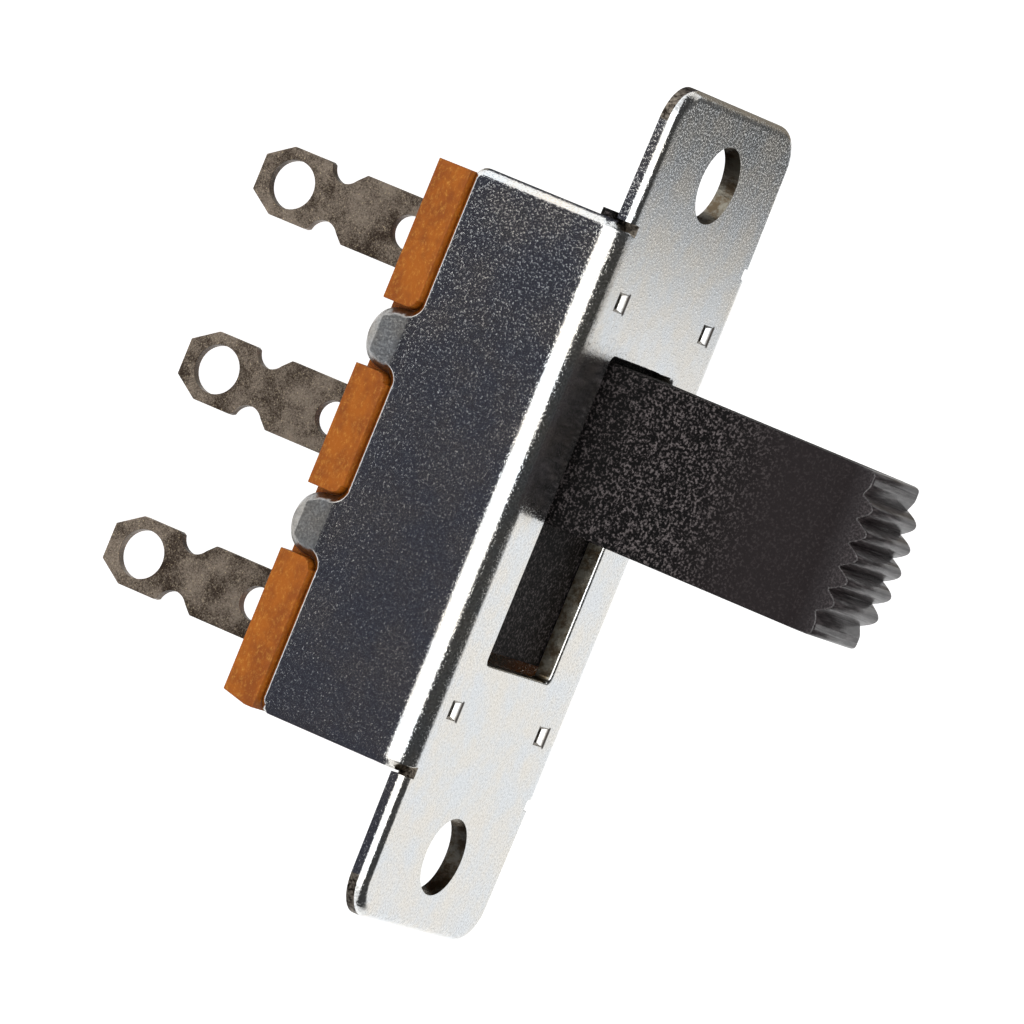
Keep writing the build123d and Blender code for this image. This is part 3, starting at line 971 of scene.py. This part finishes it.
class SWITCH_OT_stage(bpy.types.Operator):
    """Sets a white floor, cards for the mirrors, soft light and the camera"""

    bl_idname = "switch.stage"
    bl_label = "Stage"

    # Where the camera stood, from the fit of the solids to the photograph
    camera_place = Vector((-13.3334, -431.3608, 206.2124)) * MM
    camera_turn = (-38.9206, -55.9062, 132.4139)
    camera_sensor = 36
    camera_near, camera_far = 0.01, 10
    # Colours of the paper, the dark cards and the light that the grey cards send back
    paper, card, grey_light = "#f2f2f2", "#4a4a53", (1, 0.88, 0.72)
    grey_strength = 0.24
    # Corners of the cards that lie on the floor, in millimetres, seen from above
    front_card = ((-24, -28), (-42, -330), (0, -330), (8, -170), (110, -140), (110, 30), (30, 30), (24, -28))
    side_card = ((-140, 1), (-36, 1), (-36, 70), (-140, 70))
    end_card = ((-140, 8), (-19, 8), (-30, 95), (-140, 95))
    # Ends of the upright cards along the travel, how far back they stand, where they meet and their top
    rear_card, low_card = (-70, -1), (-140, -30)
    upright_back, upright_seam, upright_top = 95, 22, 220
    # How far the cards lie above the floor, and how far the end card lies under the others
    card_lift, card_step = 0.5 * MM, 0.2 * MM
    # Where along the travel the rear card gets lighter, and how dark it starts
    shade_from, shade_to, shade_least = -16.0 * MM, -6.5 * MM, 0.1
    # The softbox behind the camera
    softbox_width, softbox_depth, softbox_reach = 900 * MM, 620 * MM, 620 * MM
    softbox_rise = math.radians(27)
    # Climb from the near horizon over which the surroundings turn dark and light again, and how dark they are
    dark_from, dark_full = math.radians(53), math.radians(57)
    light_from, light_full = math.radians(128), math.radians(151)
    dark_level = 0.05

    def execute(self, context):
        stage = context.scene.switch_stage
        self.floor(context, stage)
        self.cards(context, stage)
        self.light(context, stage)
        self.surroundings(context, stage)
        self.camera(context, stage)
        context.scene.view_settings.view_transform = "Standard"
        return {"FINISHED"}

    def floor_level(self, stage):
        return CAD_BOX[0].z - stage.floor_drop

    def sheet(self, context, name, points):
        """A flat stage piece through points."""
        mesh = bpy.data.meshes.new(name)
        mesh.from_pydata(points, [], [tuple(range(len(points)))])
        piece = bpy.data.objects.new(name, mesh)
        context.scene.collection.objects.link(piece)
        return piece

    def floor(self, context, stage):
        half = stage.floor_size / 2
        level = self.floor_level(stage)
        corners = [(-half, -half, level), (half, -half, level), (half, half, level), (-half, half, level)]
        piece = self.sheet(context, "floor", corners)
        material, tree = new_material("white_paper_floor")
        seen = add(tree, "ShaderNodeLightPath").outputs
        either = add(
            tree, "ShaderNodeMath", {0: seen["Is Camera Ray"], 1: seen["Is Glossy Ray"]}, operation="MAXIMUM"
        )
        shown = add(
            tree, "ShaderNodeMath", {0: either, 1: seen["Is Transmission Ray"]}, operation="MAXIMUM"
        )
        glow = add(tree, "ShaderNodeMath", {0: shown, 1: stage.floor_glow}, operation="MULTIPLY")
        paper = add(
            tree,
            "ShaderNodeBsdfPrincipled",
            {
                "Base Color": rgba(linear(self.paper)),
                "Roughness": 0.9,
                "Specular IOR Level": 0.0,
                "Emission Color": rgba((1, 1, 1)),
                "Emission Strength": glow,
            },
        )
        clear = add(tree, "ShaderNodeBsdfTransparent")
        below = add(tree, "ShaderNodeNewGeometry").outputs["Backfacing"]
        side = add(tree, "ShaderNodeMixShader", {0: below, 1: paper, 2: clear})
        add(tree, "ShaderNodeOutputMaterial", {"Surface": side})
        piece.data.materials.append(material)

    def lying(self, corners, level):
        """Corners of a card on the floor, in metres."""
        return [(x * MM, y * MM, level) for x, y in corners]

    def standing(self, ends, low, high):
        """Corners of an upright card, in metres."""
        left, right, back = ends[0] * MM, ends[1] * MM, self.upright_back * MM
        return [(left, back, low), (right, back, low), (right, back, high), (left, back, high)]

    def cards(self, context, stage):
        """Cards that only the switch's mirrors see: dark ones in front and beside, shaded and grey behind."""
        level = self.floor_level(stage) + self.card_lift
        seam, top = self.upright_seam * MM, self.upright_top * MM
        dark, tree = new_material("dark_card")
        end_material(
            tree, {"Base Color": rgba(linear(self.card)), "Roughness": 0.9, "Specular IOR Level": 0.0}
        )
        shaded, tree = new_material("shaded_card")
        place = add(tree, "ShaderNodeTexCoord").outputs["Object"]
        along = add(tree, "ShaderNodeSeparateXYZ", {"Vector": place}).outputs["X"]
        glow = add(
            tree,
            "ShaderNodeMapRange",
            {
                "Value": along,
                "From Min": self.shade_from,
                "From Max": self.shade_to,
                "To Min": self.shade_least,
            },
        )
        shader = add(tree, "ShaderNodeEmission", {"Color": rgba((1, 1, 1)), "Strength": glow})
        add(tree, "ShaderNodeOutputMaterial", {"Surface": shader})
        grey, tree = new_material("grey_card")
        shader = add(
            tree, "ShaderNodeEmission", {"Color": rgba(self.grey_light), "Strength": self.grey_strength}
        )
        add(tree, "ShaderNodeOutputMaterial", {"Surface": shader})
        for name, corners, material in (
            ("front_card", self.lying(self.front_card, level), dark),
            ("side_card", self.lying(self.side_card, level), dark),
            ("rear_card", self.standing(self.rear_card, seam, top), shaded),
            ("low_card", self.standing(self.low_card, level, seam), grey),
            ("end_card", self.lying(self.end_card, level - self.card_step), grey),
        ):
            piece = self.sheet(context, name, corners)
            piece.data.materials.append(material)
            piece.visible_camera = False
            piece.visible_diffuse = False
            piece.visible_shadow = False
            piece.visible_transmission = False

    def light(self, context, stage):
        """A softbox turned to the switch."""
        data = bpy.data.lights.new("front_softbox", "AREA")
        data.shape = "RECTANGLE"
        data.size = self.softbox_width
        data.size_y = self.softbox_depth
        data.energy = stage.front_power
        way = Vector((0, -math.cos(self.softbox_rise), math.sin(self.softbox_rise)))
        lamp = bpy.data.objects.new("front_softbox", data)
        lamp.location = way * self.softbox_reach
        lamp.rotation_euler = (-way).to_track_quat("-Z", "Y").to_euler()
        context.scene.collection.objects.link(lamp)

    def surroundings(self, context, stage):
        """White all round for the camera, a dark band over the softbox for the mirrors, and an even fill."""
        world = bpy.data.worlds.new("studio")
        context.scene.world = world
        world.use_nodes = True
        tree = world.node_tree
        tree.nodes.clear()
        seen = add(tree, "ShaderNodeLightPath").outputs
        way = add(
            tree, "ShaderNodeSeparateXYZ", {"Vector": add(tree, "ShaderNodeTexCoord").outputs["Generated"]}
        ).outputs
        forward = add(tree, "ShaderNodeMath", {0: way["Y"], 1: -1.0}, operation="MULTIPLY")
        climb = add(tree, "ShaderNodeMath", {0: way["Z"], 1: forward}, operation="ARCTAN2")
        below = add(
            tree,
            "ShaderNodeMapRange",
            {
                "Value": climb,
                "From Min": self.dark_from,
                "From Max": self.dark_full,
                "To Min": 1.0,
                "To Max": self.dark_level,
            },
            **SMOOTH,
        )
        above = add(
            tree,
            "ShaderNodeMapRange",
            {"Value": climb, "From Min": self.light_from, "From Max": self.light_full},
            **SMOOTH,
        )
        ceiling = add(tree, "ShaderNodeMath", {0: below, 1: above}, operation="MAXIMUM")
        backdrop = add(tree, "ShaderNodeBackground", {"Color": ceiling, "Strength": 1.0})
        plain = add(tree, "ShaderNodeBackground", {"Color": rgba((1, 1, 1)), "Strength": 1.0})
        fill = add(tree, "ShaderNodeBackground", {"Color": rgba((1, 1, 1)), "Strength": stage.fill})
        mirrored = add(
            tree,
            "ShaderNodeMath",
            {0: seen["Is Glossy Ray"], 1: seen["Is Transmission Ray"]},
            operation="MAXIMUM",
        )
        soft = add(tree, "ShaderNodeMixShader", {0: mirrored, 1: fill, 2: backdrop})
        all_rays = add(tree, "ShaderNodeMixShader", {0: seen["Is Camera Ray"], 1: soft, 2: plain})
        add(tree, "ShaderNodeOutputWorld", {"Surface": all_rays})

    def camera(self, context, stage):
        data = bpy.data.cameras.new("camera")
        data.sensor_width = self.camera_sensor
        data.lens = stage.lens
        data.clip_start = self.camera_near
        data.clip_end = self.camera_far
        camera = bpy.data.objects.new("camera", data)
        camera.location = self.camera_place
        camera.rotation_euler = Euler([math.radians(a) for a in self.camera_turn], "XYZ")
        context.scene.collection.objects.link(camera)
        context.scene.camera = camera


class SWITCH_PT_panel(bpy.types.Panel):
    """Lists the pieces of the switch and what can be changed"""

    bl_idname = "SWITCH_PT_panel"
    bl_label = "Slide Switch"
    bl_space_type = "VIEW_3D"
    bl_region_type = "UI"
    bl_category = "Switch"

    def draw(self, context):
        column = self.layout.column()
        for operator in OPERATORS:
            column.operator(operator.bl_idname)
        for group in (context.scene.switch_sizes, context.scene.switch_finish, context.scene.switch_stage):
            box = self.layout.box()
            for name in group.__annotations__:
                box.prop(group, name)


OPERATORS = (
    SWITCH_OT_frame,
    SWITCH_OT_board,
    SWITCH_OT_lugs,
    SWITCH_OT_slider,
    SWITCH_OT_contacts,
    SWITCH_OT_stage,
)
CLASSES = (SwitchFinish, SwitchSizes, SwitchStage, *OPERATORS, SWITCH_PT_panel)


def register():
    for item in CLASSES:
        bpy.utils.register_class(item)
    bpy.types.Scene.switch_finish = bpy.props.PointerProperty(type=SwitchFinish)
    bpy.types.Scene.switch_sizes = bpy.props.PointerProperty(type=SwitchSizes)
    bpy.types.Scene.switch_stage = bpy.props.PointerProperty(type=SwitchStage)


def unregister():
    del bpy.types.Scene.switch_stage
    del bpy.types.Scene.switch_sizes
    del bpy.types.Scene.switch_finish
    for item in reversed(CLASSES):
        bpy.utils.unregister_class(item)


def main():
    register()
    bpy.ops.switch.frame()
    bpy.ops.switch.board()
    bpy.ops.switch.lugs()
    bpy.ops.switch.slider()
    bpy.ops.switch.contacts()
    bpy.ops.switch.stage()


if __name__ == "__main__":
    main()
